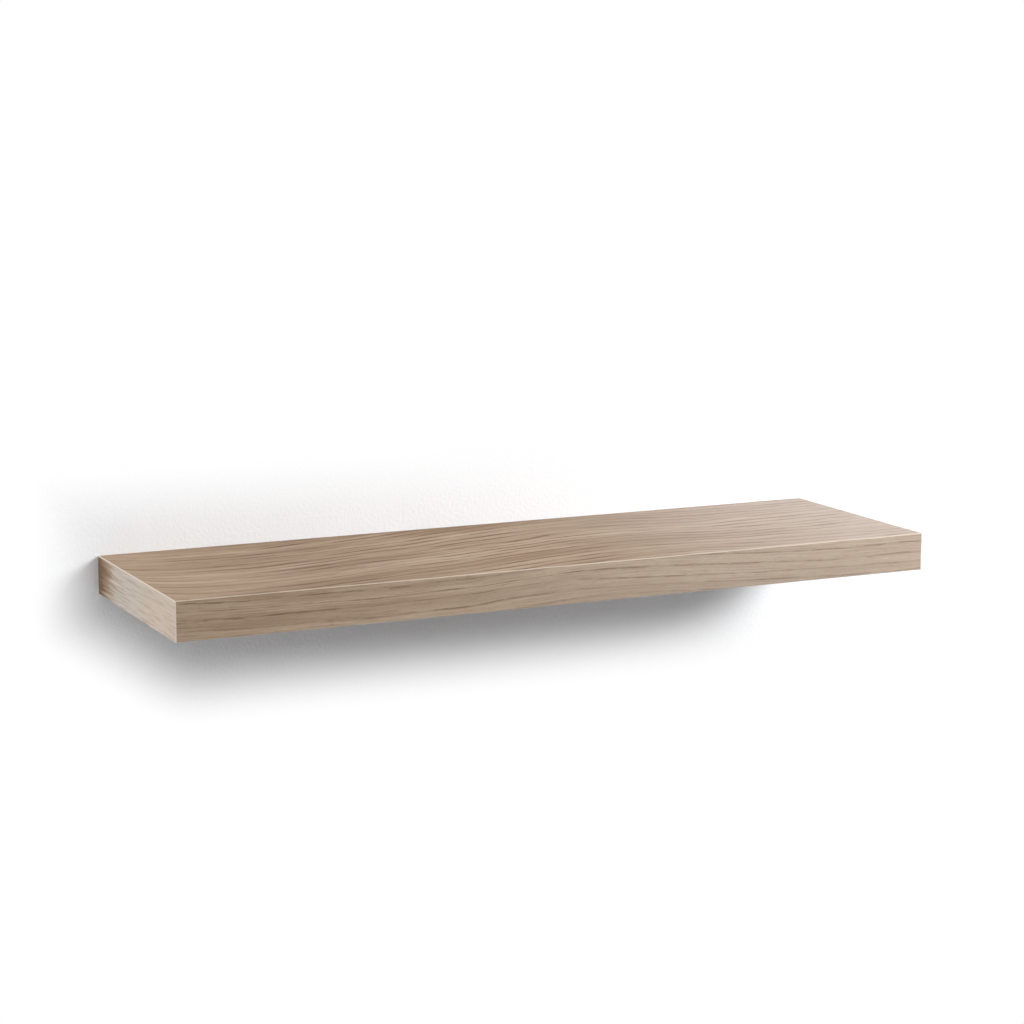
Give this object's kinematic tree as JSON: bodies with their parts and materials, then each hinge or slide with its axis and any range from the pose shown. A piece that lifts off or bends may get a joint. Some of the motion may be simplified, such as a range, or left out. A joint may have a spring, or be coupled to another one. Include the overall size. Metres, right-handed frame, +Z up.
{
  "type": "floating wall shelf",
  "caption": "Straight floating wall shelf in taupe oak decor: a hollow-core board that slides over the steel rods of a hidden wall bracket.",
  "frame": {"origin": "on the wall's surface, at the middle of the bracket plate's back face, at half the board's thickness", "axes": "+X along the shelf, to the right for someone who faces the wall; +Y into the wall; +Z up"},
  "size_m": [0.8, 0.281, 0.038],
  "materials": {
    "oak_decor": "matt printed oak decor, taupe, with a fine pore",
    "edge_band": "matt printed oak decor, with a paler trimmed edge",
    "hardboard": "pressed brown fibre, smooth face",
    "particleboard": "pressed chips, sawn faces",
    "kraft_paper": "brown kraft paper",
    "staple_wire": "bright galvanised wire",
    "insert_brass": "turned brass",
    "zinc_plated_steel": "bright zinc plating, satin",
    "weld_metal": "zinc-plated weld bead, rippled",
    "screw_steel": "yellow passivated zinc",
    "nylon": "grey nylon",
    "black_steel": "black oxide"
  },
  "bodies": {
    "bracket": {"wall_plate": "zinc_plated_steel", "rod_left": "zinc_plated_steel", "rod_centre": "zinc_plated_steel", "rod_right": "zinc_plated_steel", "rod_welds": "weld_metal", "wall_screws": "screw_steel", "wall_plugs": "nylon"},
    "board": {"top_laminate": "oak_decor", "top_skin": "hardboard", "bottom_skin": "hardboard", "bottom_laminate": "oak_decor", "front_edge_band": "edge_band", "left_edge_band": "edge_band", "right_edge_band": "edge_band", "front_rail": "particleboard", "back_rail": "particleboard", "left_end_rail": "particleboard", "right_end_rail": "particleboard", "rod_rib_left": "particleboard", "rod_rib_centre": "particleboard", "rod_rib_right": "particleboard", "honeycomb_bay_1": "kraft_paper", "honeycomb_bay_2": "kraft_paper", "honeycomb_bay_3": "kraft_paper", "honeycomb_bay_4": "kraft_paper", "frame_staples": "staple_wire", "insert_nuts": "insert_brass"},
    "lock_screw_left": {"lock_screw_left": "black_steel"},
    "lock_screw_right": {"lock_screw_right": "black_steel"}
  },
  "joints": [
    {"name": "board_slide", "type": "slide", "parent": "bracket", "child": "board", "axis": [0, -1, 0], "range_m": [0, 0.17]},
    {"name": "lock_screw_left_turn", "type": "hinge", "parent": "board", "child": "lock_screw_left", "pos_m": [-0.22, -0.026, -0.0121], "axis": [0, 0, -1], "range_deg": [0, 720]},
    {"name": "lock_screw_right_turn", "type": "hinge", "parent": "board", "child": "lock_screw_right", "pos_m": [0.22, -0.026, -0.0121], "axis": [0, 0, -1], "range_deg": [0, 720]}
  ]
}
